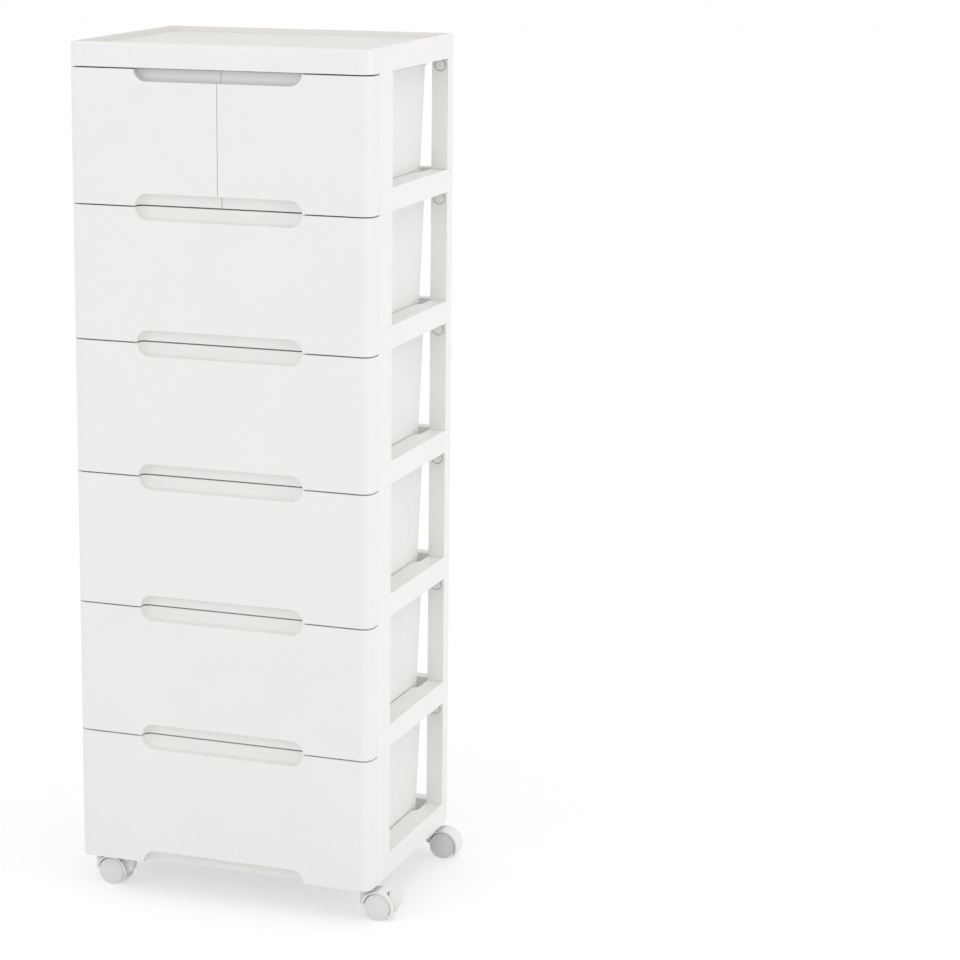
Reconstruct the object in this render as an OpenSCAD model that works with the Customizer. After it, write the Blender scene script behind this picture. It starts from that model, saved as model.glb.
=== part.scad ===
// Tower of plastic drawers on swivel castors. Five full-width drawers stand under a pair of
// half-width ones, in tiers of frames and hollow posts that plug into each other.
// The drawer fronts face -Y and up is +Z. The floor is z = 0, and the origin is the middle of
// the whole outline on it, with the castors trailing towards +X.

/* [Tower] */
// Width of the body over its side faces
width = 400; // [370:1:460]
// Depth of the body from the drawer fronts to the back
depth = 308; // [290:1:360]
// Height of one tier, a drawer and its frame
tier_h = 170; // [150:1:220]
// Height of the top cover
cover_h = 30; // [24:1:45]
// Radius of the body's upright corners
corner_r = 13.5; // [9:0.5:16]

/* [Tier frames] */
// Height of a tier frame
rail_h = 29; // [24:1:36]
// Width of a side rail's ledge beside the drawer
rail_w = 30; // [26:1:36]
// Width of the ledge at its narrow back end
rail_back_w = 22; // [18:1:25]
// Depth of the back bar
back_bar_d = 18; // [14:1:22]
// Depth of the low front bar
front_bar_d = 24; // [18:1:32]
// Height of the front bar and of the runners
runner_h = 8; // [6:0.5:12]
// Width of a runner inside the frame
runner_w = 20; // [12:1:26]
// Wall of the frame mouldings
frame_wall = 2.5; // [1.8:0.1:3]
// Half width of the centre guide between the small drawers
guide_half_w = 6.5; // [4:0.5:7]
// Height of the centre guide above the frame's underside
guide_h = 25; // [14:1:27]
// Spacing of the stiffening ribs in the rails
rib_pitch = 46; // [30:1:70]
// Thickness of a stiffening rib
rib_t = 1.2; // [0.8:0.1:2]
// Length of a ledge's narrow back end, from the back bar to the step
ledge_end_l = 42; // [30:1:60]
// Length of the soft step to the narrow end
ledge_step_l = 14; // [8:1:24]

/* [Posts] */
// Width of a post seen from the front
post_w = 22; // [18:1:25]
// Depth of a front post
front_post_d = 46; // [36:1:60]
// Depth of a back post
back_post_d = 31; // [26:1:40]
// Wall of the hollow posts
post_wall = 2.2; // [1.6:0.1:2.6]
// Wall of the plugs that hold the posts
plug_wall = 2; // [1.6:0.1:2.4]
// Length of the plug that reaches down into a post
plug_l = 24; // [20:1:40]
// Length of the peg that reaches up into a post
peg_l = 14; // [8:1:20]
// Diameter of the round snap button on a plug
button_d = 13.4; // [10:0.2:15]
// Distance of the button's centre below the frame above
button_drop = 8.6; // [8.2:0.1:12]
// Gap round the button in its hole
button_gap = 0.9; // [0.4:0.1:0.9]

/* [Drawer fronts] */
// Depth of a drawer front and its wrapped sides
front_d = 27.5; // [26:0.5:34]
// Gap between the fronts and the frame behind them
front_seam = 0.5; // [0.3:0.1:1]
// Wall of a drawer front
front_wall = 2.6; // [2:0.1:3.4]
// Gap between a front and the one below it
front_gap = 1.8; // [1:0.1:2.4]
// Gap between the two small fronts
middle_gap = 0.7; // [0.5:0.1:2]
// Depth of the lowest front's bottom lip, in front of the castor sockets
foot_lip_d = 14; // [8:1:17]
// Width of a finger recess over its round ends
grip_w = 222; // [160:1:280]
// Half height of a finger recess, and the radius of its ends
grip_r = 16.5; // [13:0.1:19]
// Depth of a finger recess
grip_d = 14; // [10:0.5:17]
// Radius between the recess's walls and its back
grip_edge_r = 6; // [2:0.5:8]

/* [Drawer boxes] */
// Wall of a drawer box
box_wall = 2; // [1.6:0.1:3]
// Lean of the box's sides and back, as run over rise
box_lean = 0.033; // [0.01:0.001:0.04]
// Gap from the box's side to the rail, at the ledge
box_side_gap = 1.5; // [1:0.1:2.4]
// Gap from the small box's inner side to the middle, at the rim
small_inner_gap = 2.5; // [2:0.1:4]
// Gap from the box's rim to the frame above
box_top_gap = 5; // [3:0.5:10]
// Room behind the box's back, up to the back bar, at the ledge
box_back_room = 19; // [16:1:30]
// Radius of the box's back corners
box_back_r = 12; // [6:0.5:14]
// Radius of the box's front corners
box_front_r = 5; // [3:0.5:8]
// Height of the rim's lip
lip_h = 5; // [3:0.5:8]
// Width of the rim's lip
lip_w = 1.6; // [0.8:0.1:2]
// Width of a stop lug under the box
lug_w = 30; // [16:1:40]
// Thickness of a stop lug
lug_t = 4; // [3:0.5:6]
// Depth of a stop lug below the box
lug_h = 5; // [3:0.5:5.5]
// Distance of the lug from the box's back
lug_inset = 8; // [5:1:20]
// Distance of the lug's middle from the wide box's side
lug_side = 68; // [40:1:110]
// Diameter of the pegs that hold a front to its box
snap_d = 7; // [5:0.5:10]
// Step of the snap head round a peg's end
snap_head = 0.6; // [0.3:0.1:1]
// Distance of the pegs from the box's sides
snap_side = 34; // [24:1:60]
// Distance of the pegs from the front's top and bottom
snap_inset = 47; // [36:1:60]

/* [Top cover] */
// Depth of the tray in the cover
tray_d = 7; // [4:0.5:10]
// Width of the rim round the tray
rim_w = 6; // [5:0.5:12]
// Radius of the cover's top edge
cover_edge_r = 3.5; // [1:0.5:4]
// Wall of the cover
cover_wall = 2.6; // [2:0.1:3.2]

/* [Castors] */
// Radius of a castor wheel
wheel_r = 17.5; // [15:0.5:22]
// Width of one wheel of the pair
wheel_w = 9.6; // [7:0.1:12]
// Radius of the wheel's rounded edges
wheel_edge_r = 1.5; // [0.8:0.1:2.5]
// Thickness of the wheel's rim
wheel_rim_t = 3.5; // [2.6:0.1:5]
// Thickness of the wheel's closed outer face
wheel_face_t = 2.4; // [1.6:0.1:3]
// Depth of the round groove in the wheel's face, and its width
wheel_groove = 0.5; // [0.2:0.1:0.8]
// Gap between a wheel and the hood's web
wheel_side_gap = 0.4; // [0.3:0.1:1]
// Height of the body's underside above the axles
axle_drop = 25.5; // [24.5:0.5:32]
// Distance of the castor's swivel axis from the side face
castor_side = 15.3; // [14:0.1:18]
// Distance of the swivel axis from the front and the back
castor_inset = 29.4; // [28.5:0.1:34]
// Trail of the axle behind the swivel axis
trail = 19.2; // [18:0.1:24]
// Gap between the wheels and the hood
hood_gap = 1.1; // [0.8:0.1:2]
// Wall of the hood
hood_wall = 2.2; // [1.6:0.1:2.6]
// Overhang of the hood past the wheels' faces
hood_over = 1; // [0.4:0.1:2]
// Thickness of the web between the wheels
web_t = 5; // [4.6:0.1:7]
// Angle of the hood's low edge below the axle's level, in degrees
hood_low = 35; // [25:1:40]
// Angle from the axle's level to the hood's other edge, over the top, in degrees
hood_sweep = 165; // [150:1:172]
// Depth of the web's lower edge below the axle
web_drop = 4; // [2:0.5:6]
// Radius of the web's hub round the axle
hub_r = 6.5; // [5.5:0.1:8]
// Radius of the upright boss round the stem
boss_r = 7; // [6:0.1:8]
// Diameter of the axle
axle_d = 5; // [4:0.5:6]
// Gap between the axle's ends and the wheels' closed faces
axle_end_gap = 0.3; // [0.1:0.1:1]
// Diameter of the stem
stem_d = 7.8; // [6:0.1:8]
// Radius of the stem's collar
collar_r = 8; // [6.5:0.1:9]
// Thickness of the stem's collar
collar_t = 1.5; // [1:0.1:1.8]
// Depth of the stem in the body
stem_grip = 22; // [16:1:24]
// Radius of the socket in the base frame
socket_r = 9.2; // [7:0.1:9.4]

/* [Brake levers] */
// Reach of the lever past the axle
lever_reach = 30.8; // [27:0.1:36]
// Height of the lever's flat top above the axle
lever_top = 20.1; // [19:0.1:21]
// Width of the lever's thumb tab
lever_w = 11; // [7:0.5:16]
// Height of the toe's lower corner above the axle
lever_toe_z = 3; // [1:0.1:5]
// Distance of the toe's lower corner behind the tip
lever_slant = 3.4; // [2:0.1:6]
// Depth of the lever's heel below the axle
lever_heel = 3.5; // [2:0.1:4.5]
// Thickness of the lever inside the web
lever_neck_t = 2.4; // [2:0.1:2.8]
// Diameter of the lever's pivot
pivot_d = 3; // [2.5:0.1:3.6]
// Material round the pivot
pivot_wall = 1.7; // [1.2:0.1:2]
// Distance of the pivot behind the axle
pivot_x = 11; // [10.5:0.1:12]
// Height of the pivot above the axle
pivot_z = 7.5; // [7:0.1:8.5]
// Free angle below the lever and above the lifted lever, in degrees
lever_play = 4; // [1:0.5:6]
// Lift of the lever when it lets go of the wheels, in degrees
lever_lift = 8; // [4:1:9]

/* [Fits] */
// Clearance between a plug and the inside of a post
plug_fit = 0.3; // [0.1:0.05:0.5]
// Clearance between a box and its runners
slide_fit = 0.3; // [0.2:0.05:0.6]
// Radial clearance of a turning pin in its bore
turn_fit = 0.05; // [0.02:0.01:0.1]
// Radial clearance of a pin that is pressed in
press_fit = 0.01; // [0.01:0.005:0.03]
// Side clearance of the lever in the web
lever_fit = 0.1; // [0.05:0.05:0.2]

/* [Hidden] */
$fn = 64;
tiers = 6;
sides = [-1, 1];
side_names = ["left", "right"];
end_names = ["front", "rear"];

// A cut runs this far past the face that it opens
past = 1;

// Body
half_w = width / 2;
base_z = wheel_r + axle_drop;
cover_z = base_z + tiers * tier_h;
frame_y = front_d + front_seam;
open_half_w = half_w - rail_w;
open_back_half_w = half_w - rail_back_w;
open_back_y = depth - back_bar_d;
ledge_end_y = open_back_y - ledge_end_l;

// Boxes
box_floor = runner_h + slide_fit;
box_rim = tier_h - box_top_gap;
rim_rise = box_rim - rail_h;
floor_drop = rail_h - box_floor;
box_half_w = open_half_w - box_side_gap;
box_back_y = open_back_y - box_back_room;
snap_r = snap_d / 2;
lug_y = box_back_y - floor_drop * box_lean - lug_inset - lug_t;
travel = lug_y - frame_y - front_bar_d - slide_fit;

// Castors
castor_x = half_w - castor_side;
castor_ys = [castor_inset, depth - castor_inset];
hood_in_r = wheel_r + hood_gap;
hood_r = hood_in_r + hood_wall;
wheel_in = web_t / 2 + wheel_side_gap;
wheel_out = wheel_in + wheel_w;
hood_half_w = wheel_out + hood_over;
stem_r = stem_d / 2;
axle_r = axle_d / 2;
collar_gap = 0.3;
boss_top = base_z - collar_t - collar_gap;
// The stem's foot clears the wheels, which come closest at its side facing the axle
stem_foot = wheel_r + sqrt(pow(hood_in_r, 2) - pow(trail - stem_r, 2)) + turn_fit;

// Brake levers, from the axle
pivot_r = pivot_d / 2;
neck_r = pivot_r + pivot_wall;
lever_back_x = pivot_x + neck_r;
window_low_angle = -atan(lever_heel / hood_r) - lever_play;
window_high_angle = acos(lever_back_x / hood_r) + lever_lift + lever_play;
// The tab's inner corner, from the pivot, and how near the axle it comes when the lever is lifted
tab_r = hood_in_r + lever_fit;
tab_corner = [lever_back_x - pivot_x, sqrt(pow(tab_r, 2) - pow(lever_back_x, 2)) - pivot_z];
lifted_corner = [
    pivot_x + tab_corner[0] * cos(lever_lift) - tab_corner[1] * sin(lever_lift),
    pivot_z + tab_corner[0] * sin(lever_lift) + tab_corner[1] * cos(lever_lift)
];

// The castors trail to +X, so the outline's middle lies beside the body's
outline_shift = (castor_x + trail + lever_reach - half_w) / 2;

function tier_z(t) = base_z + (tiers - t) * tier_h;
function ease(u) = u * u * (3 - 2 * u);

cover_colour = [0.95, 0.95, 0.95];
frame_colour = [0.93, 0.93, 0.93];
front_colour = [0.92, 0.92, 0.92];
box_colour = [0.90, 0.90, 0.89];
wheel_colour = [0.84, 0.84, 0.84];
hood_colour = [0.90, 0.90, 0.90];
steel_colour = [0.66, 0.67, 0.68];

module placed() {
    translate([-outline_shift, -depth / 2, 0]) children();
}

// Rectangle from x0 to x1 and y0 to y1 with round corners at its front and its back.
// A radius of 0 leaves the corners square
module rounded_plan(x0, x1, y0, y1, r_front, r_back) {
    translate([x0, y0 + r_front]) square([x1 - x0, y1 - r_back - y0 - r_front]);
    if (r_front > 0) {
        translate([x0 + r_front, y0]) square([x1 - x0 - 2 * r_front, r_front + past]);
        for (x = [x0 + r_front, x1 - r_front]) translate([x, y0 + r_front]) circle(r_front);
    }
    if (r_back > 0) {
        translate([x0 + r_back, y1 - r_back - past]) square([x1 - x0 - 2 * r_back, r_back + past]);
        for (x = [x0 + r_back, x1 - r_back]) translate([x, y1 - r_back]) circle(r_back);
    }
}

// Rectangle from the origin to [w, d] with its far corner rounded
module one_round_plan(w, d, r) {
    square([w - r, d]);
    square([w, d - r]);
    intersection() {
        square([w, d]);
        translate([w - r, d - r]) circle(r);
    }
}

// Sections of the posts on the right side, shrunk all round by inset
module front_post_plan(inset) {
    translate([half_w - post_w + inset, frame_y + inset])
        square([post_w - 2 * inset, front_post_d - 2 * inset]);
}

module back_post_plan(inset) {
    translate([half_w - post_w + inset, depth - back_post_d + inset])
        one_round_plan(post_w - 2 * inset, back_post_d - 2 * inset, corner_r - inset);
}

module post_plans(inset) {
    front_post_plan(inset);
    back_post_plan(inset);
}

// Children on the right side, and again on the left
module both_sides() {
    children();
    mirror([1, 0, 0]) children();
}

// The hollow plugs that hold the posts, from one height to another
module plug_tubes(z0, z1) {
    both_sides() translate([0, 0, z0]) linear_extrude(z1 - z0) post_plans(post_wall + plug_fit);
}

module plug_hollows(z0, z1) {
    both_sides() translate([0, 0, z0 - past]) linear_extrude(z1 - z0 + 2 * past)
        post_plans(post_wall + plug_fit + plug_wall);
}

// Round snap buttons on the plugs' inner faces, flush with the faces of the posts
module snap_buttons(z) {
    button_l = post_wall + plug_fit + plug_wall / 2;
    both_sides() {
        for (y = [frame_y + front_post_d - button_l, depth - back_post_d])
            translate([half_w - post_w / 2, y, z - button_drop])
                rotate([-90, 0, 0]) cylinder(d = button_d, h = button_l);
    }
}

// ---- Frame ----

// The open middle of a tier frame. The ledges narrow near the back in one soft step
module frame_opening(grow) {
    steps = 10;
    right = concat(
        [[open_half_w + grow, frame_y - past]],
        [for (i = [0:steps]) [
            open_half_w + grow + (open_back_half_w - open_half_w) * ease(i / steps),
            ledge_end_y - ledge_step_l * (1 - i / steps)
        ]],
        [[open_back_half_w + grow, open_back_y + grow]]
    );
    left = [for (i = [len(right) - 1:-1:0]) [-right[i][0], right[i][1]]];
    polygon(concat(right, left));
}

// Outline of a tier frame, shrunk all round by inset
module frame_plan(inset) {
    rounded_plan(-half_w + inset, half_w - inset, frame_y + inset, depth - inset, 0, corner_r - inset);
}

// Thin cross walls in the rails, between the plugs
module rail_ribs() {
    first = frame_y + front_post_d;
    count = floor((depth - back_post_d - first) / rib_pitch);
    both_sides() for (i = [1:count]) {
        translate([open_back_half_w, first + i * rib_pitch, runner_h])
            cube([rail_back_w - frame_wall / 2, rib_t, rail_h - runner_h - frame_wall / 2]);
    }
}

// Rails, bars and runners that every frame shares, with its underside at z = 0
module frame_body() {
    difference() {
        linear_extrude(rail_h) frame_plan(0);
        translate([0, 0, -past]) linear_extrude(rail_h + 2 * past) frame_opening(0);
        translate([0, 0, -past]) linear_extrude(rail_h - frame_wall + past) difference() {
            frame_plan(frame_wall);
            frame_opening(frame_wall);
        }
    }
    rail_ribs();
    // Low front bar, hollow from below
    difference() {
        translate([-open_half_w - frame_wall, frame_y, 0])
            cube([2 * open_half_w + 2 * frame_wall, front_bar_d, runner_h]);
        translate([-open_half_w, frame_y + frame_wall, -past])
            cube([2 * open_half_w, front_bar_d - 2 * frame_wall, runner_h - frame_wall + past]);
    }
    // Runners under the sides of the drawer
    both_sides() translate([open_half_w - runner_w, frame_y + frame_wall, runner_h - frame_wall])
        cube([runner_w + frame_wall / 2, open_back_y - frame_y, frame_wall]);
    // Upright webs under the runners' free edges
    both_sides() translate([open_half_w - runner_w, frame_y + frame_wall, 0])
        cube([frame_wall, open_back_y - frame_y, runner_h]);
}

// Rib and inner runners that keep the two small drawers apart
module centre_guide() {
    translate([-guide_half_w, frame_y, 0])
        cube([2 * guide_half_w, open_back_y + frame_wall - frame_y, guide_h]);
    translate([-guide_half_w - runner_w, frame_y, runner_h - frame_wall])
        cube([2 * guide_half_w + 2 * runner_w, open_back_y + frame_wall - frame_y, frame_wall]);
}

// Frame that stands on the posts of the tier below
module tier_frame(t) {
    color(frame_colour) placed() translate([0, 0, tier_z(t)]) difference() {
        union() {
            frame_body();
            plug_tubes(-plug_l, rail_h + peg_l);
            snap_buttons(0);
            if (t == 1) centre_guide();
        }
        plug_hollows(-plug_l, rail_h + peg_l);
        // The guide is hollow from below
        if (t == 1) translate([-guide_half_w + frame_wall, frame_y + frame_wall, -past])
            cube([
                2 * guide_half_w - 2 * frame_wall,
                open_back_y - frame_y - frame_wall,
                guide_h - frame_wall + past
            ]);
    }
}

module base_frame() {
    socket_h = stem_grip + frame_wall;
    color(frame_colour) placed() translate([0, 0, base_z]) difference() {
        union() {
            difference() {
                union() {
                    frame_body();
                    plug_tubes(0, rail_h + peg_l);
                }
                plug_hollows(0, rail_h + peg_l);
            }
            for (s = sides, y = castor_ys) translate([s * castor_x, y, 0])
                cylinder(r = socket_r, h = socket_h);
        }
        for (s = sides, y = castor_ys) translate([s * castor_x, y, -past])
            cylinder(r = stem_r + press_fit, h = stem_grip + past);
    }
}

// ---- Posts ----

// Hollow post with the snap button's hole, z from the frame below to the frame above
module post_tube(t, is_front) {
    z0 = tier_z(t) + rail_h;
    post_l = tier_h - rail_h;
    hole_y = is_front ? frame_y + front_post_d - post_wall - past : depth - back_post_d - past;
    color(frame_colour) difference() {
        translate([0, 0, z0]) linear_extrude(post_l) difference() {
            if (is_front) front_post_plan(0); else back_post_plan(0);
            if (is_front) front_post_plan(post_wall); else back_post_plan(post_wall);
        }
        translate([half_w - post_w / 2, hole_y, z0 + post_l - button_drop]) rotate([-90, 0, 0])
            cylinder(d = button_d + 2 * button_gap, h = post_wall + 2 * past);
    }
}

module post(t, side, is_front) {
    placed() if (side > 0) post_tube(t, is_front); else mirror([1, 0, 0]) post_tube(t, is_front);
}

// ---- Top cover ----

// Block on the plan of the body with round upright corners and a round top edge
module soft_block(h, r, edge) {
    linear_extrude(h - edge) rounded_plan(-half_w, half_w, 0, depth, r, r);
    linear_extrude(h) rounded_plan(-half_w + edge, half_w - edge, edge, depth - edge, r - edge, r - edge);
    for (s = sides, y = [r, depth - r]) translate([s * (half_w - r), y, h - edge])
        rotate_extrude() translate([r - edge, 0]) circle(edge, $fn = 48);
    for (s = sides) translate([s * (half_w - edge), r, h - edge])
        rotate([-90, 0, 0]) cylinder(r = edge, h = depth - 2 * r);
    for (y = [edge, depth - edge]) translate([-half_w + r, y, h - edge])
        rotate([0, 90, 0]) cylinder(r = edge, h = width - 2 * r);
}

module top_cover() {
    plate_z = cover_h - tray_d - cover_wall;
    tray_r = corner_r - rim_w;
    inner_r = corner_r - cover_wall;
    color(cover_colour) placed() translate([0, 0, cover_z]) difference() {
        union() {
            difference() {
                soft_block(cover_h, corner_r, cover_edge_r);
                translate([0, 0, plate_z + cover_wall]) linear_extrude(tray_d + past)
                    rounded_plan(-half_w + rim_w, half_w - rim_w, rim_w, depth - rim_w, tray_r, tray_r);
                translate([0, 0, -past]) linear_extrude(plate_z + past)
                    rounded_plan(
                        -half_w + cover_wall, half_w - cover_wall,
                        cover_wall, depth - cover_wall, inner_r, inner_r
                    );
            }
            plug_tubes(-plug_l, plate_z + cover_wall / 2);
            snap_buttons(0);
        }
        plug_hollows(-plug_l, plate_z - past);
    }
}

// ---- Drawers ----

// Half section of a finger recess, its height along X and its depth along Y
module grip_section(grow) {
    one_round_plan(grip_r + grow, past + grip_d + grow, grip_edge_r + grow);
}

// Finger recess, a pocket with round ends and a rounded back edge, about the height z.
// grow adds the wall round it
module grip_solid(z, grow) {
    reach = grip_w / 2 - grip_r;
    translate([0, -past, z]) {
        rotate([0, -90, 0]) linear_extrude(2 * reach, center = true)
            for (m = [0, 1]) mirror([m, 0]) grip_section(grow);
        for (s = sides) translate([s * reach, 0, 0]) rotate([-90, 0, 0])
            rotate_extrude() grip_section(grow);
    }
}

// Plan of a front from x0 to x1. Only the corners at the body's sides are round
module front_plan(x0, x1, inset, back) {
    r_left = x0 == -half_w ? corner_r - inset : 0;
    r_right = x1 == half_w ? corner_r - inset : 0;
    left = x0 + inset;
    right = x1 - inset;
    translate([left, inset + corner_r]) square([right - left, back - inset - corner_r]);
    translate([left + r_left, inset]) square([right - left - r_left - r_right, corner_r + past]);
    if (r_left > 0) translate([left + r_left, inset + r_left]) circle(r_left);
    if (r_left > 0) translate([left, inset + r_left]) square([r_left + past, corner_r]);
    if (r_right > 0) translate([right - r_right, inset + r_right]) circle(r_right);
    if (r_right > 0) translate([right - r_right - past, inset + r_right]) square([r_right + past, corner_r]);
}

// Hollow front from x0 to x1 and z0 to z1, with finger recesses at the heights in grips.
// lip_d is how far its bottom lip reaches back
module front_shell(x0, x1, z0, z1, grips, lip_d, pegs) {
    tall = z1 - z0;
    peg_l = front_d - front_wall + box_wall + front_wall;
    difference() {
        union() {
            difference() {
                translate([0, 0, z0]) linear_extrude(tall) front_plan(x0, x1, 0, front_d);
                translate([0, 0, z0 + front_wall]) linear_extrude(tall - 2 * front_wall)
                    front_plan(x0, x1, front_wall, front_d + past);
                if (lip_d < front_d)
                    translate([x0 + front_wall, lip_d, z0 - past])
                        cube([x1 - x0 - 2 * front_wall, front_d - lip_d + past, front_wall + 2 * past]);
            }
            for (z = grips) intersection() {
                grip_solid(z, front_wall);
                translate([0, 0, z0]) linear_extrude(tall) front_plan(x0, x1, 0, front_d);
            }
            for (x = pegs, z = peg_heights(z0, z1)) {
                translate([x, front_wall / 2, z]) rotate([-90, 0, 0]) {
                    cylinder(r = snap_r + front_wall, h = front_d - front_wall / 2);
                    cylinder(r = snap_r, h = peg_l + front_wall / 2);
                }
                translate([x, front_d + box_wall + slide_fit, z]) rotate([-90, 0, 0])
                    cylinder(r1 = snap_r + snap_head, r2 = snap_r, h = front_wall - slide_fit);
            }
        }
        for (z = grips) grip_solid(z, 0);
    }
}

// Heights of the pegs between a front's bottom and top
function peg_heights(z0, z1) = [z0 + snap_inset, z1 - snap_inset];
function front_low(t) = t == tiers ? tier_z(t) : tier_z(t) + front_gap / 2;
function front_high(t) = tier_z(t) + tier_h - (t == 1 ? front_gap : front_gap / 2);
function wide_pegs() = [for (i = [-1:1]) i * (box_half_w - snap_side)];
function small_pegs() = [small_inner_gap + snap_side, box_half_w - snap_side];

module wide_front(t) {
    color(front_colour) placed() front_shell(
        -half_w, half_w, front_low(t), front_high(t),
        [tier_z(t), tier_z(t) + tier_h], t == tiers ? foot_lip_d : front_d, wide_pegs()
    );
}

module small_front(side) {
    color(front_colour) placed() mirror([side < 0 ? 1 : 0, 0, 0]) front_shell(
        middle_gap / 2, half_w, front_low(1), front_high(1),
        [tier_z(1), tier_z(1) + tier_h], front_d, small_pegs()
    );
}

// Slice of a box's outer shape, rise above the ledge, shrunk all round by inset
module box_slice(x0, x1, rise, inset) {
    run = rise * box_lean;
    left = x0 < 0 ? x0 - run : x0 + (rim_rise - rise) * box_lean;
    rounded_plan(
        left + inset, x1 + run - inset, front_d + inset, box_back_y + run - inset,
        box_front_r - inset, box_back_r - inset, $fn = 32
    );
}

// Leaning body of a box between two rises
module box_solid(x0, x1, low, high, inset) {
    slice = 0.5;
    hull() {
        translate([0, 0, low]) linear_extrude(slice) box_slice(x0, x1, low, inset);
        translate([0, 0, high - slice]) linear_extrude(slice) box_slice(x0, x1, high, inset);
    }
}

// Open box from x0 to x1 at the ledge, with its lip, stop lugs and the holes for its front's pegs.
// z = 0 is the top of the ledge
module drawer_box(x0, x1, lugs, pegs, z0, z1) {
    difference() {
        union() {
            box_solid(x0, x1, -floor_drop, rim_rise, 0);
            translate([0, 0, rim_rise - lip_h]) linear_extrude(lip_h) intersection() {
                box_slice(x0, x1, rim_rise, -lip_w);
                translate([x0 < 0 ? -half_w : front_gap, front_d]) square([width, depth]);
            }
            for (x = lugs) translate([x - lug_w / 2, lug_y, -floor_drop - lug_h])
                cube([lug_w, lug_t, lug_h + box_wall / 2]);
        }
        box_solid(x0, x1, box_wall - floor_drop, rim_rise + past, box_wall);
        for (x = pegs, z = peg_heights(z0, z1)) translate([x, front_d - past, z])
            rotate([-90, 0, 0]) cylinder(r = snap_r + slide_fit, h = box_wall + 2 * past);
    }
}

module wide_drawer(t) {
    ledge = tier_z(t) + rail_h;
    color(box_colour) placed() translate([0, 0, ledge]) drawer_box(
        -box_half_w, box_half_w, [for (s = sides) s * (box_half_w - lug_side)],
        wide_pegs(), front_low(t) - ledge, front_high(t) - ledge
    );
}

module small_drawer(side) {
    ledge = tier_z(1) + rail_h;
    color(box_colour) placed() mirror([side < 0 ? 1 : 0, 0, 0]) translate([0, 0, ledge]) drawer_box(
        small_inner_gap, box_half_w, [(small_inner_gap + box_half_w) / 2],
        small_pegs(), front_low(1) - ledge, front_high(1) - ledge
    );
}

// ---- Castors ----

// Children at a castor's axle, in the frame of the castor
module at_axle(e, s) {
    placed() translate([sides[s] * castor_x + trail, castor_ys[e], wheel_r]) children();
}

// Flat shape in the castor's upright plane, extruded evenly to both sides
module upright(thickness) {
    rotate([90, 0, 0]) translate([0, 0, -thickness / 2]) linear_extrude(thickness) children();
}

// Wedge of a circle between two angles
module wedge(r, a0, a1) {
    steps = 6;
    polygon(concat([[0, 0]], [for (i = [0:steps])
        let (a = a0 + (a1 - a0) * i / steps) 2 * r * [cos(a), sin(a)]]));
}

// Room for the lever's neck inside the web
module lever_window(thickness) {
    upright(thickness) {
        translate([pivot_x, pivot_z]) circle(neck_r + turn_fit + lever_fit);
        difference() {
            wedge(hood_r, window_low_angle, window_high_angle);
            circle(norm([pivot_x, pivot_z]) - neck_r);
        }
    }
}

module castor_hood(e, s) {
    braked = e == 0;
    color(hood_colour) at_axle(e, s) difference() {
        union() {
            upright(2 * hood_half_w) intersection() {
                difference() {
                    circle(hood_r);
                    circle(hood_in_r);
                }
                wedge(hood_r, -hood_low, hood_sweep);
            }
            upright(web_t) {
                intersection() {
                    circle(hood_in_r + hood_wall / 2);
                    translate([-hood_r, -web_drop]) square(2 * hood_r);
                }
                circle(hub_r);
            }
            difference() {
                translate([-trail, 0, 0]) cylinder(r = boss_r, h = boss_top - wheel_r);
                // The wheels' room stops inside the hood's own wall
                for (m = [0, 1]) mirror([0, m, 0]) translate([0, web_t / 2, 0])
                    rotate([-90, 0, 0]) cylinder(r = hood_in_r + hood_wall / 2, h = 2 * hood_half_w);
            }
        }
        // Bores of the stem and the axle
        translate([-trail, 0, stem_foot - wheel_r]) cylinder(r = stem_r + turn_fit, h = base_z);
        rotate([90, 0, 0]) cylinder(r = axle_r + turn_fit, h = web_t + 2 * past, center = true);
        if (braked) {
            lever_window(lever_neck_t + 2 * lever_fit);
            translate([pivot_x, 0, pivot_z]) rotate([90, 0, 0])
                cylinder(r = pivot_r + turn_fit, h = web_t + 2 * past, center = true);
            // Window of the thumb tab through the hood's wall
            upright(lever_w + 4 * lever_fit) difference() {
                wedge(hood_r, window_low_angle, window_high_angle);
                circle(norm(lifted_corner) - 2 * lever_fit);
            }
        }
    }
}

// Section of one wheel, radius along X and width along Y from its inner face.
// Its outer face is closed over the axle's end
module wheel_section() {
    bore_r = axle_r + press_fit;
    hub = hub_r - wheel_edge_r;
    hollow_r = wheel_r - wheel_rim_t;
    edge = wheel_edge_r;
    difference() {
        union() {
            square([wheel_r - edge, wheel_w]);
            translate([wheel_r - 2 * edge, edge]) square([2 * edge, wheel_w - 2 * edge]);
            for (y = [edge, wheel_w - edge]) translate([wheel_r - edge, y]) circle(edge);
        }
        translate([0, -past]) square([bore_r, wheel_w - wheel_face_t + past]);
        translate([hub, -past]) square([hollow_r - hub, wheel_w - wheel_face_t + past]);
        translate([hollow_r, wheel_w - wheel_groove]) square([wheel_groove, wheel_groove + past]);
    }
}

module castor_wheels(e, s) {
    color(wheel_colour) at_axle(e, s) for (m = [0, 1]) mirror([0, m, 0])
        translate([0, wheel_in, 0]) rotate([-90, 0, 0]) rotate_extrude() wheel_section();
}

module castor_axle(e, s) {
    color(steel_colour) at_axle(e, s)
        rotate([90, 0, 0])
            cylinder(r = axle_r, h = 2 * (wheel_out - wheel_face_t - axle_end_gap), center = true);
}

module castor_stems() {
    color(steel_colour) placed() for (s = sides, y = castor_ys) translate([s * castor_x, y, 0]) {
        translate([0, 0, stem_foot + turn_fit])
            cylinder(r = stem_r, h = base_z + stem_grip - press_fit - stem_foot - turn_fit);
        translate([0, 0, base_z - collar_t]) cylinder(r = collar_r, h = collar_t);
    }
}

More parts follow.
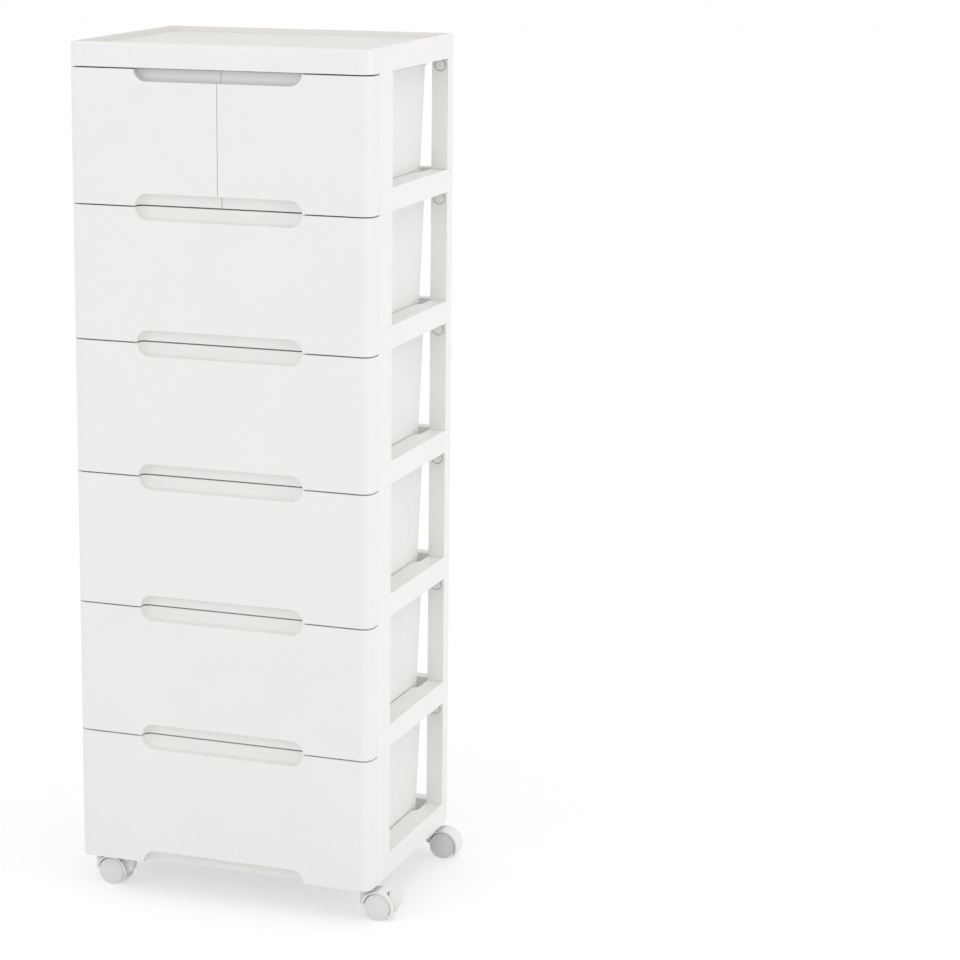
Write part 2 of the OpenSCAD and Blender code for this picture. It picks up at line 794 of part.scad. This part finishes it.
module brake_lever(s) {
    color(hood_colour) at_axle(0, s) {
        // Thumb tab outside the hood
        difference() {
            upright(lever_w) polygon([
                [lever_back_x, pivot_z], [lever_back_x, lever_top], [lever_reach, lever_top],
                [lever_reach - lever_slant, lever_toe_z], [hood_r, -lever_heel]
            ]);
            rotate([90, 0, 0]) cylinder(r = tab_r, h = 2 * lever_w, center = true);
        }
        // Neck and pivot between the wheels
        upright(lever_neck_t) {
            translate([pivot_x, pivot_z]) circle(neck_r);
            polygon([
                [pivot_x, pivot_z + neck_r], [lever_back_x + past, lever_top - neck_r],
                [hood_r, 0], [pivot_x, pivot_z - neck_r]
            ]);
        }
        translate([pivot_x, 0, pivot_z]) rotate([90, 0, 0]) cylinder(r = pivot_r, h = web_t, center = true);
    }
}

// ---- Assembly ----

top_cover();
base_frame();
castor_stems();
for (t = [1:tiers - 1]) {
    tier_frame(t);
}
for (s = [0:1]) {
    small_drawer(sides[s]);
    small_front(sides[s]);
    brake_lever(s);
}
for (t = [2:tiers]) {
    wide_drawer(t);
    wide_front(t);
}
for (s = [0:1], t = [1:tiers]) {
    post(t, sides[s], true);
    post(t, sides[s], false);
}
for (e = [0:1], s = [0:1]) {
    castor_hood(e, s);
    castor_wheels(e, s);
    castor_axle(e, s);
}
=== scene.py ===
import bmesh
import bpy
import math
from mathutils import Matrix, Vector


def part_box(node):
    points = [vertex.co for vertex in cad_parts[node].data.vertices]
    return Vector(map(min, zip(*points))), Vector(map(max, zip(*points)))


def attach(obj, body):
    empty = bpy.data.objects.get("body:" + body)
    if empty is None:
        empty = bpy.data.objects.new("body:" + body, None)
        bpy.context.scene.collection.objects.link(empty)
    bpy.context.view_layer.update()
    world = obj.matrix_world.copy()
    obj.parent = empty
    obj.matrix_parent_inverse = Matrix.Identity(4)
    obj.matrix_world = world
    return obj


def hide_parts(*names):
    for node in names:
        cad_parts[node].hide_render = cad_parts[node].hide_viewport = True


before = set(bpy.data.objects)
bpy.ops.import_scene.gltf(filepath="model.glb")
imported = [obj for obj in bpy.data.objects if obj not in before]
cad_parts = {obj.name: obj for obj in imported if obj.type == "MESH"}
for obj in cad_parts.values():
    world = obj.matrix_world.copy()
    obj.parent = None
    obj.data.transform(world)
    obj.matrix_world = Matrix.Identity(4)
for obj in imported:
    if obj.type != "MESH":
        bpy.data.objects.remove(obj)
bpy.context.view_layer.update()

# ---- Camera ----
# It stands three and a half metres away, to the right of the tower's front and a little higher
# than its top. A long lens keeps the uprights almost parallel.
MM = 0.001
VIEW_PLACE = (1.4207, -3.4684, 1.3575)
VIEW_AZIMUTH = 21.376
VIEW_ELEVATION = 12.117
VIEW_LENS = 111.7
VIEW_SHIFT = (0.1613, -0.0208)

camera = bpy.data.objects.new("camera", bpy.data.cameras.new("camera"))
bpy.context.scene.collection.objects.link(camera)
camera.location = VIEW_PLACE
camera.rotation_euler = (math.radians(90 - VIEW_ELEVATION), 0, math.radians(VIEW_AZIMUTH))
camera.data.lens = VIEW_LENS
camera.data.shift_x, camera.data.shift_y = VIEW_SHIFT
bpy.context.scene.camera = camera


# ---- Base frame and tier frames ----
# Each tier's frame is one moulding of white polypropylene: two side rails, a back bar, a low
# front bar and the runners. Its hollow plugs reach into the posts and snap in with round buttons.
def linear(colour):
    """An sRGB hex colour as the linear RGBA that a shader takes."""
    def channel(value):
        return value / 12.92 if value <= 0.04045 else ((value + 0.055) / 1.055) ** 2.4
    return [channel(int(colour[i:i + 2], 16) / 255) for i in (0, 2, 4)] + [1.0]


def add_node(tree, kind, inputs=None, links=None, **settings):
    """Adds a node with its settings and its sockets' values, and links its sockets."""
    node = tree.nodes.new("ShaderNode" + kind)
    for name, value in settings.items():
        setattr(node, name, value)
    for name, value in (inputs or {}).items():
        node.inputs[name].default_value = value
    for name, (source, output) in (links or {}).items():
        tree.links.new(source.outputs[output], node.inputs[name])
    return node


def moulded_plastic(name, shade, deep_shade, roughness, grain_mm):
    """Injection-moulded plastic. Melt cools unevenly, so its tone and gloss drift by a little
    over a hand's width. The mould's spark-eroded skin leaves a grain, some 0.15 mm across on the
    real part and drawn about ten times as coarse, as finer would only speckle."""
    drift_mm = 85
    gloss_drift_mm = 30
    gloss_spread = 0.04
    grain_depth_mm = 0.02
    plastic_ior = 1.49
    material = bpy.data.materials.new(name)
    material.use_nodes = True
    tree = material.node_tree
    tree.nodes.clear()
    place = add_node(tree, "TexCoord")
    drift = add_node(tree, "TexNoise", {"Scale": 1 / (drift_mm * MM), "Detail": 2.0},
                     {"Vector": (place, "Object")})
    tone = add_node(tree, "ValToRGB", links={"Fac": (drift, "Fac")})
    stops = zip(tone.color_ramp.elements, (0.3, 0.7), (deep_shade, shade))
    for stop, position, colour in stops:
        stop.position = position
        stop.color = linear(colour)
    gloss_drift = add_node(tree, "TexNoise", {"Scale": 1 / (gloss_drift_mm * MM), "Detail": 3.0},
                           {"Vector": (place, "Object")})
    gloss = add_node(tree, "MapRange",
                     {"To Min": roughness - gloss_spread, "To Max": roughness + gloss_spread},
                     {"Value": (gloss_drift, "Fac")})
    grain = add_node(tree, "TexNoise", {"Scale": 1 / (grain_mm * MM), "Detail": 2.0},
                     {"Vector": (place, "Object")})
    bump = add_node(tree, "Bump", {"Strength": 0.5, "Distance": grain_depth_mm * MM},
                    {"Height": (grain, "Fac")})
    skin = add_node(tree, "BsdfPrincipled", {"IOR": plastic_ior},
                    {"Base Color": (tone, "Color"), "Roughness": (gloss, "Result"),
                     "Normal": (bump, "Normal")})
    add_node(tree, "OutputMaterial", links={"Surface": (skin, "BSDF")})
    return material


def soften(node, radius_mm, material):
    """Gives a CAD node the small edge radius that its mould or lathe leaves, and its material."""
    weld_mm = 0.01
    flat_degrees = 0.5
    sharp_degrees = 40
    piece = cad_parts[node]
    for face in piece.data.polygons:
        face.use_smooth = True
    weld = piece.modifiers.new("weld", "WELD")
    weld.merge_threshold = weld_mm * MM
    flats = piece.modifiers.new("flats", "DECIMATE")
    flats.decimate_type = "DISSOLVE"
    flats.angle_limit = math.radians(flat_degrees)
    edge = piece.modifiers.new("edge radius", "BEVEL")
    edge.width = radius_mm * MM
    edge.segments = 2
    edge.limit_method = "ANGLE"
    edge.angle_limit = math.radians(sharp_degrees)
    edge.use_clamp_overlap = True
    piece.modifiers.new("shading", "WEIGHTED_NORMAL")
    piece.data.materials.clear()
    piece.data.materials.append(material)


TIERS = 6
SIDES = ("left", "right")
FRAME_EDGE_R = 0.7
# Frames and posts: satin white polypropylene, which reads as a clean, slightly warm white
frame_plastic = moulded_plastic("satin_white_polypropylene", "F4F3F1", "F2F1EF",
                                roughness=0.42, grain_mm=1.4)
for tier in range(1, TIERS):
    soften(f"tier_frame_{tier}", FRAME_EDGE_R, frame_plastic)
soften("base_frame", FRAME_EDGE_R, frame_plastic)

# ---- Posts ----
# Hollow posts of the same polypropylene stand between the frames. A round hole near the top of
# each shows the snap button of the plug above.
for side in SIDES:
    for tier in range(1, TIERS + 1):
        soften(f"front_post_{side}_{tier}", FRAME_EDGE_R, frame_plastic)
        soften(f"back_post_{side}_{tier}", FRAME_EDGE_R, frame_plastic)

# ---- Castor hoods, levers, stems and axles ----
# Nylon hoods carry the wheels on a web between them. The front two have a brake lever each.
# Their stems and axles are turned steel with a zinc coat.
def plated_steel(name, shade, deep_shade, roughness):
    """Turned steel under bright zinc. The bath leaves it clouded over a few millimetres, and the
    lathe's fine rings, drawn a millimetre apart, spread the highlight along the pin."""
    cloud_mm = 6
    ring_mm = 1.0
    ring_depth_mm = 0.01
    gloss_spread = 0.06
    material = bpy.data.materials.new(name)
    material.use_nodes = True
    tree = material.node_tree
    tree.nodes.clear()
    place = add_node(tree, "TexCoord")
    cloud = add_node(tree, "TexNoise", {"Scale": 1 / (cloud_mm * MM), "Detail": 3.0},
                     {"Vector": (place, "Object")})
    tone = add_node(tree, "ValToRGB", links={"Fac": (cloud, "Fac")})
    tone.color_ramp.elements[0].color = linear(deep_shade)
    tone.color_ramp.elements[1].color = linear(shade)
    gloss = add_node(tree, "MapRange",
                     {"To Min": roughness - gloss_spread, "To Max": roughness + gloss_spread},
                     {"Value": (cloud, "Fac")})
    rings = add_node(tree, "TexNoise", {"Scale": 1 / (ring_mm * MM), "Detail": 1.0},
                     {"Vector": (place, "Object")})
    bump = add_node(tree, "Bump", {"Strength": 0.4, "Distance": ring_depth_mm * MM},
                    {"Height": (rings, "Fac")})
    skin = add_node(tree, "BsdfPrincipled", {"Metallic": 1.0},
                    {"Base Color": (tone, "Color"), "Roughness": (gloss, "Result"),
                     "Normal": (bump, "Normal")})
    add_node(tree, "OutputMaterial", links={"Surface": (skin, "BSDF")})
    return material


ENDS = ("front", "rear")
CASTOR_EDGE_R = 0.5
AXLE_EDGE_R = 0.2
STEM_EDGE_R = 0.3
# Nylon is a shade greyer than the frames and glossier, so that its rims catch thin highlights
castor_plastic = moulded_plastic("white_castor_nylon", "F0EFED", "EDECEA",
                                 roughness=0.38, grain_mm=1.2)
# Bright zinc reads as pale bluish grey metal, cloudy rather than mirror-like
steel = plated_steel("zinc_plated_steel", "C9CBCD", "B4B7BA", roughness=0.32)
for end in ENDS:
    for side in SIDES:
        soften(f"castor_hood_{end}_{side}", CASTOR_EDGE_R, castor_plastic)
        soften(f"castor_axle_{end}_{side}", AXLE_EDGE_R, steel)
for side in SIDES:
    soften(f"brake_lever_{side}", CASTOR_EDGE_R, castor_plastic)
soften("castor_stems", STEM_EDGE_R, steel)


# ---- Castor wheels ----
# A pair of nylon wheels is pressed on each axle. Their outer faces are closed and a little
# domed, with a round groove near the rim, and they are hollow towards the web.
def node_corners(node):
    """A CAD node's lowest and highest corners, in mm."""
    return [[value / MM for value in corner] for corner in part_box(node)]


def quarter_turn(steps=4):
    """Sine and cosine from 0 to 90 degrees, for a fillet."""
    return [(math.sin(math.pi / 2 * i / steps), math.cos(math.pi / 2 * i / steps))
            for i in range(steps + 1)]


def add_skin(form, rings):
    """Adds a smooth skin over rings of points in mm to a bmesh in metres, with its ends capped."""
    loops = [[form.verts.new([value * MM for value in point]) for point in ring] for ring in rings]
    for here, there in zip(loops, loops[1:]):
        for first in range(len(here)):
            second = (first + 1) % len(here)
            form.faces.new((here[first], here[second], there[second], there[first]))
    form.faces.new(loops[0][::-1])
    form.faces.new(loops[-1])


def built_piece(name, form, material, body, node):
    """Turns a bmesh into a smooth piece that stands for its CAD node and rides on its body."""
    bmesh.ops.recalc_face_normals(form, faces=form.faces)
    mesh = bpy.data.meshes.new(name)
    form.to_mesh(mesh)
    form.free()
    mesh.shade_smooth()
    mesh.materials.append(material)
    piece = bpy.data.objects.new(name, mesh)
    bpy.context.scene.collection.objects.link(piece)
    piece.modifiers.new("shading", "WEIGHTED_NORMAL")
    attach(piece, body)
    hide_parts(node)


WHEEL_W = 9.6
WHEEL_EDGE_R = 1.5
WHEEL_DOME = 0.7
HOLLOW_R = 14
FACE_T = 2.4
GROOVE_W = 0.5
GROOVE_DEPTH = 0.25
GROOVE_EDGE_R = 0.15
HUB_R = 5
BORE_R = 2.5
POLE_R = 0.3
WHEEL_STEPS = 72


def wheel_profile(wheel_r):
    """Radius and width, from the middle of the outer face over the tread to the blind bore."""
    dome_steps = 6
    profile = []
    for i in range(dome_steps + 1):
        radius = POLE_R + (HOLLOW_R - GROOVE_EDGE_R - POLE_R) * i / dome_steps
        profile.append((radius, WHEEL_W + WHEEL_DOME * (1 - (radius / HOLLOW_R) ** 2)))
    groove_out = HOLLOW_R + GROOVE_W
    floor = WHEEL_W - GROOVE_DEPTH
    edge = WHEEL_W - GROOVE_EDGE_R
    profile += [(HOLLOW_R, edge), (HOLLOW_R, floor), (groove_out, floor), (groove_out, edge),
                (groove_out + GROOVE_EDGE_R, WHEEL_W)]
    corner_r = wheel_r - WHEEL_EDGE_R
    profile += [(corner_r + WHEEL_EDGE_R * sine, WHEEL_W - WHEEL_EDGE_R * (1 - cosine))
                for sine, cosine in quarter_turn()]
    profile += [(corner_r + WHEEL_EDGE_R * cosine, WHEEL_EDGE_R * (1 - sine))
                for sine, cosine in quarter_turn()]
    profile += [(HOLLOW_R, 0), (HOLLOW_R, WHEEL_W - FACE_T), (HUB_R, WHEEL_W - FACE_T),
                (HUB_R, 0), (BORE_R, 0), (BORE_R, WHEEL_W - FACE_T), (POLE_R, WHEEL_W - FACE_T)]
    return profile


# Off-white nylon a shade darker than the hoods, which sets the discs off from them
wheel_plastic = moulded_plastic("off_white_wheel_nylon", "E9E8E6", "E6E5E3",
                                roughness=0.36, grain_mm=1.2)
for end in ENDS:
    for side in SIDES:
        node = f"castor_wheels_{end}_{side}"
        low, high = node_corners(node)
        axle_x, axle_y, axle_z = [(near + far) / 2 for near, far in zip(low, high)]
        inner_y = (high[1] - low[1]) / 2 - WHEEL_W
        form = bmesh.new()
        for way in (-1, 1):
            add_skin(form, [[
                (axle_x + radius * math.cos(math.tau * i / WHEEL_STEPS),
                 axle_y + way * (inner_y + width),
                 axle_z + radius * math.sin(math.tau * i / WHEEL_STEPS))
                for i in range(WHEEL_STEPS)] for radius, width in wheel_profile(axle_z)])
        built_piece(f"wheel_pair_{end}_{side}", form, wheel_plastic,
                    f"wheels_{end}_{side}", node)


# ---- Drawer boxes ----
# Open boxes of white polypropylene, each one moulding. Their sides and back lean out so that they
# leave the mould, a lip stiffens the rim, and lugs under the floor stop them at the front bar.
BOX_WALL = 2
BOX_LEAN = 0.033
BOX_FRONT_R = 5
BOX_BACK_R = 12
SHARPEST_R = 0.3
LIP_W = 1.6
INNER_LIP_W = 0.7
LIP_H = 5
LIP_EDGE_R = 0.7
FLOOR_OUT_R = 2.5
FLOOR_IN_R = 4
LUG_W = 30
LUG_T = 4
LUG_H = 5
LUG_EDGE_R = 0.8
LUG_INSET = 8
WIDE_LUG_X = 100.5


def outline(left, right, front, back, z, front_r, back_r):
    """A level ring of points round a rectangle with rounded corners."""
    corner_steps = 6
    corners = ((left, front, front_r, 1, 1), (right, front, front_r, -1, 1),
               (right, back, back_r, -1, -1), (left, back, back_r, 1, -1))
    ring = []
    for quarter, (x, y, radius, to_x, to_y) in enumerate(corners):
        for step in range(corner_steps + 1):
            turn = math.pi + math.pi / 2 * (quarter + step / corner_steps)
            ring.append((x + radius * (to_x + math.cos(turn)),
                         y + radius * (to_y + math.sin(turn)), z))
    return ring


def box_rings(low, high, lip_left, lip_right):
    """Rings from the middle of the floor's underside, up and over the lip, and down inside."""
    rim_z = high[2]
    floor_z = low[2] + LUG_H
    top_of_floor = floor_z + BOX_WALL

    def ring(z, inset=0.0, flare=0.0):
        lean = (rim_z - z) * BOX_LEAN
        grow = LIP_W * flare
        return outline(
            low[0] + lip_left * (1 - flare) + lean + inset,
            high[0] - lip_right * (1 - flare) - lean - inset,
            low[1] + inset, high[1] - LIP_W * (1 - flare) - lean - inset, z,
            max(BOX_FRONT_R + grow - inset, SHARPEST_R), max(BOX_BACK_R + grow - inset, SHARPEST_R))

    rings = [ring(floor_z + FLOOR_OUT_R * (1 - cosine), inset=FLOOR_OUT_R * (1 - sine))
             for sine, cosine in quarter_turn()]
    rings.append(ring(rim_z - LIP_H))
    edge = LIP_EDGE_R / LIP_W
    rings += [ring(rim_z - LIP_H + LIP_EDGE_R * (1 - cosine), flare=1 - edge * (1 - sine))
              for sine, cosine in quarter_turn()]
    rings += [ring(rim_z - LIP_EDGE_R * (1 - sine), flare=1 - edge * (1 - cosine))
              for sine, cosine in quarter_turn()]
    rings += [ring(rim_z - LIP_EDGE_R * (1 - cosine), inset=BOX_WALL - LIP_EDGE_R * (1 - sine))
              for sine, cosine in quarter_turn()]
    rings += [ring(top_of_floor + FLOOR_IN_R * (1 - sine),
                   inset=BOX_WALL + FLOOR_IN_R * (1 - cosine)) for sine, cosine in quarter_turn()]
    return rings


def lug_rings(x, low, high):
    """Rings of a stop lug, from its rounded foot into the floor."""
    floor_z = low[2] + LUG_H
    lug_back = high[1] - LIP_W - (high[2] - floor_z) * BOX_LEAN - LUG_INSET

    def ring(z, inset=0.0):
        return outline(x - LUG_W / 2 + inset, x + LUG_W / 2 - inset, lug_back - LUG_T + inset,
                       lug_back - inset, z, LUG_EDGE_R, LUG_EDGE_R)

    rings = [ring(low[2] + LUG_EDGE_R * (1 - cosine), LUG_EDGE_R * (1 - sine))
             for sine, cosine in quarter_turn()]
    return rings + [ring(floor_z + BOX_WALL / 2)]


def drawer_box(name, node, body, lip_left, lip_right, lug_middles):
    low, high = node_corners(node)
    form = bmesh.new()
    add_skin(form, box_rings(low, high, lip_left, lip_right))
    for x in lug_middles:
        add_skin(form, lug_rings(x, low, high))
    built_piece(name, form, box_plastic, body, node)


# Satin white polypropylene, a little duller than the fronts, which sets the boxes behind them
box_plastic = moulded_plastic("white_box_polypropylene", "F1F0EE", "EFEEEC",
                              roughness=0.45, grain_mm=1.4)
body_low, body_high = node_corners("base_frame")
body_middle = (body_low[0] + body_high[0]) / 2
for tier in range(2, TIERS + 1):
    drawer_box(f"wide_box_{tier}", f"drawer_{tier}", f"drawer_{tier}_set", LIP_W, LIP_W,
               (body_middle - WIDE_LUG_X, body_middle + WIDE_LUG_X))
for side, lip_left, lip_right in (("left", LIP_W, INNER_LIP_W), ("right", INNER_LIP_W, LIP_W)):
    node = f"small_drawer_{side}"
    low, high = node_corners(node)
    middle = (low[0] + lip_left + high[0] - lip_right) / 2
    drawer_box(f"small_box_{side}", node, f"small_drawer_{side}_set", lip_left, lip_right,
               (middle,))

# ---- Drawer fronts ----
# Separate hollow panels of white polypropylene, snapped on the boxes. Their lower edges are arched
# for the fingers, and the upper half of each finger hold is a pocket pressed into the panel below.
FRONT_EDGE_R = 1.0
SMALL_FRONT_EDGE_R = 0.7
# Same satin white as the frames, a touch deeper, which shows where a front meets its post
front_plastic = moulded_plastic("white_front_polypropylene", "F2F1EF", "F0EFED",
                                roughness=0.42, grain_mm=1.4)
for tier in range(2, TIERS + 1):
    soften(f"front_{tier}", FRONT_EDGE_R, front_plastic)
for side in SIDES:
    soften(f"small_front_{side}", SMALL_FRONT_EDGE_R, front_plastic)

# ---- Top cover ----
# One lid-like moulding of white polypropylene, with a shallow tray in its top and hollow below.
# Its four plugs reach into the upper posts and snap in with round buttons.
COVER_EDGE_R = 0.8
TRAY_DEPTH = 7
TRAY_RIM = 6
# Grey multiplied into the tray's colour: painted shade for its floor and walls
TRAY_PAINTED_SHADE = "F7F6F5"
PIT_ROUGHNESS = 0.6


def dull_tray_and_paint_shade(material, low, high):
    """Makes a material duller inside the box between two corners in mm, where the mould was
    blasted coarser. It also multiplies the colour there by a grey, a painted shade that makes the
    tray's floor and walls read greyer inside a clean rim."""
    play_mm = 0.1
    tree = material.node_tree
    skin = next(node for node in tree.nodes if node.type == "BSDF_PRINCIPLED")
    place = add_node(tree, "SeparateXYZ", links={0: (add_node(tree, "TexCoord"), "Object")})
    in_x, in_y, in_z = [
        add_node(tree, "Math", {1: (near + far) / 2 * MM, 2: ((far - near) / 2 + play_mm) * MM},
                 {0: (place, axis)}, operation="COMPARE")
        for near, far, axis in zip(low, high, "XYZ")]
    in_plan = add_node(tree, "Math", links={0: (in_x, 0), 1: (in_y, 0)}, operation="MINIMUM")
    tray = add_node(tree, "Math", links={0: (in_plan, 0), 1: (in_z, 0)}, operation="MINIMUM")
    tone, gloss = [skin.inputs[name].links[0].from_socket for name in ("Base Color", "Roughness")]
    # Painted shade: the tray's floor and walls are darkened by this grey
    painted_tray_shade = add_node(tree, "MixRGB", {"Color2": linear(TRAY_PAINTED_SHADE)}, {"Fac": (tray, 0)},
                    blend_type="MULTIPLY")
    tree.links.new(tone, painted_tray_shade.inputs["Color1"])
    tree.links.new(painted_tray_shade.outputs[0], skin.inputs["Base Color"])
    dull = add_node(tree, "MapRange", {"To Max": PIT_ROUGHNESS}, {"Value": (tray, 0)})
    tree.links.new(gloss, dull.inputs["To Min"])
    tree.links.new(dull.outputs[0], skin.inputs["Roughness"])


# The frames' white with more gloss, which keeps the rim bright round the dull tray and its painted
# shade
cover_plastic = moulded_plastic("white_cover_polypropylene", "F3F2F0", "F1F0EE",
                                roughness=0.28, grain_mm=1.4)
low, high = node_corners("top_cover")
dull_tray_and_paint_shade(cover_plastic, [low[0] + TRAY_RIM, low[1] + TRAY_RIM, high[2] - TRAY_DEPTH],
          [high[0] - TRAY_RIM, high[1] - TRAY_RIM, high[2]])
soften("top_cover", COVER_EDGE_R, cover_plastic)


# ---- Floor and light ----
# A plain white studio floor under an even white sky, with a broad soft box low on the right and
# one in front. Where it is seen, the floor is part paper, which holds the tower's soft shadow, and
# part glow, which takes it up to the white of the sky behind it.
FLOOR_SIZE = 60.0
SKY_LIGHT = 0.9
SEEN_SKY = 1.0
WHITE = "FFFFFF"
PAPER = "EFEFEF"
SEEN_PAPER = "BABABA"
PAPER_GLOW = 0.555


def seen_ray(tree):
    """1 for the rays that show the background: the camera's, and those of gloss and glass."""
    ray = add_node(tree, "LightPath")
    shiny = add_node(tree, "Math", operation="MAXIMUM",
                     links={0: (ray, "Is Glossy Ray"), 1: (ray, "Is Transmission Ray")})
    return add_node(tree, "Math", operation="MAXIMUM",
                    links={0: (ray, "Is Camera Ray"), 1: (shiny, 0)})


world = bpy.data.worlds.new("studio")
bpy.context.scene.world = world
world.use_nodes = True
sky = world.node_tree
sky.nodes.clear()
light_air = add_node(sky, "Background", {"Color": linear(WHITE), "Strength": SKY_LIGHT})
seen_air = add_node(sky, "Background", {"Color": linear(WHITE), "Strength": SEEN_SKY})
air = add_node(sky, "MixShader", links={0: (seen_ray(sky), 0), 1: (light_air, 0), 2: (seen_air, 0)})
add_node(sky, "OutputWorld", links={"Surface": (air, 0)})

floor_mesh = bpy.data.meshes.new("floor")
half = FLOOR_SIZE / 2
floor_mesh.from_pydata([(-half, -half, 0), (half, -half, 0), (half, half, 0), (-half, half, 0)],
                       [], [(0, 1, 2, 3)])
floor = bpy.data.objects.new("floor", floor_mesh)
bpy.context.scene.collection.objects.link(floor)
paper = bpy.data.materials.new("white_studio_paper")
paper.use_nodes = True
tree = paper.node_tree
tree.nodes.clear()
card = add_node(tree, "BsdfDiffuse", {"Color": linear(PAPER)})
seen_card = add_node(tree, "BsdfDiffuse", {"Color": linear(SEEN_PAPER)})
glow = add_node(tree, "Emission", {"Color": linear(WHITE), "Strength": PAPER_GLOW})
bright = add_node(tree, "AddShader", links={0: (seen_card, 0), 1: (glow, 0)})
both = add_node(tree, "MixShader", links={0: (seen_ray(tree), 0), 1: (card, 0), 2: (bright, 0)})
add_node(tree, "OutputMaterial", links={"Surface": (both, 0)})
floor_mesh.materials.append(paper)


def soft_lamp(name, place, aim, size, watts):
    """A square soft box that points at a spot."""
    lamp = bpy.data.lights.new(name, "AREA")
    lamp.size = size
    lamp.energy = watts
    holder = bpy.data.objects.new(name, lamp)
    bpy.context.scene.collection.objects.link(holder)
    holder.location = place
    holder.rotation_euler = (Vector(aim) - Vector(place)).to_track_quat("-Z", "Y").to_euler()


soft_lamp("right_softbox", place=(3.0, -0.5, 0.9), aim=(0, 0, 0.5), size=2.0, watts=13.0)
soft_lamp("front_softbox", place=(-1.2, -3.2, 2.0), aim=(0, 0, 0.6), size=1.8, watts=11.6)

bpy.context.scene.view_settings.view_transform = "Standard"
